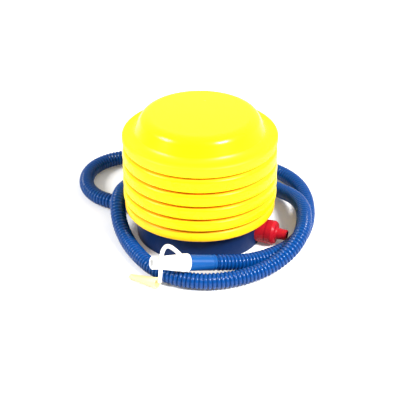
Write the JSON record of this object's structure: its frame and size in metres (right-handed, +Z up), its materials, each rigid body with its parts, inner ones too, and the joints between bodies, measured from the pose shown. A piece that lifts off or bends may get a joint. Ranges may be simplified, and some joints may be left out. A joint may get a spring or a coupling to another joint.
{
  "type": "bellows hand pump",
  "caption": "Round pleated bellows air pump pressed by hand or foot, with a suction valve, an outlet port and a corrugated hose wound round the base, ending in a nozzle with a tethered adapter.",
  "frame": {"origin": "centre of the base's flat underside, on the bellows' axis", "axes": "+Z up along the bellows' axis; -Y faces the front, where the nozzle lies; +X to the right, towards the suction valve"},
  "size_m": [0.1994, 0.2196, 0.1049],
  "materials": {
    "navy_base": "satin moulded plastic",
    "yellow_bellows": "satin blow-moulded plastic",
    "yellow_cap": "satin moulded plastic",
    "red_valve": "glossy moulded plastic",
    "white_plastic": "smooth moulded plastic",
    "cream_cone": "slightly translucent moulded plastic",
    "blue_hose": "corrugated flexible plastic, semi-gloss",
    "blue_cuff": "smooth soft plastic",
    "seal_rubber": "matte",
    "zinc_steel": "zinc plated",
    "spring_steel": "plain spring wire"
  },
  "bodies": {
    "base": {"base_housing": "navy_base", "base_plate": "navy_base", "base_gasket": "seal_rubber", "base_screws": "zinc_steel", "bellows": "yellow_bellows", "clamp_ring": "yellow_bellows", "lower_spring_seat": "navy_base", "return_spring": "spring_steel", "inlet_valve_body": "red_valve", "inlet_valve_cap": "red_valve", "inlet_valve_cage": "red_valve", "inlet_seal": "seal_rubber", "inlet_lock_nut": "red_valve", "outlet_port": "navy_base", "outlet_valve_seat": "white_plastic", "outlet_valve_cage": "white_plastic", "outlet_seal": "seal_rubber", "hose_cuff": "blue_cuff", "hose": "blue_hose", "nozzle_cuff": "blue_cuff", "nozzle": "white_plastic", "nozzle_tether": "white_plastic", "adapter_cone": "cream_cone"},
    "cap": {"top_cap": "yellow_cap", "upper_spring_seat": "yellow_cap"},
    "inlet_flap": {"inlet_valve_disc": "seal_rubber"},
    "outlet_flap": {"outlet_valve_disc": "seal_rubber"}
  },
  "joints": [
    {"name": "bellows_press", "type": "slide", "parent": "base", "child": "cap", "axis": [0, 0, -1], "range_m": [0, 0.04], "stiffness_N_per_m": 1200, "deforming": ["bellows", "return_spring"]},
    {"name": "inlet_flap_slide", "type": "slide", "parent": "base", "child": "inlet_flap", "axis": [-0.9272, 0.3746, 0], "range_m": [0, 0.0016]},
    {"name": "outlet_flap_slide", "type": "slide", "parent": "base", "child": "outlet_flap", "axis": [-0.9272, 0.3746, 0], "range_m": [0, 0.0014]}
  ]
}
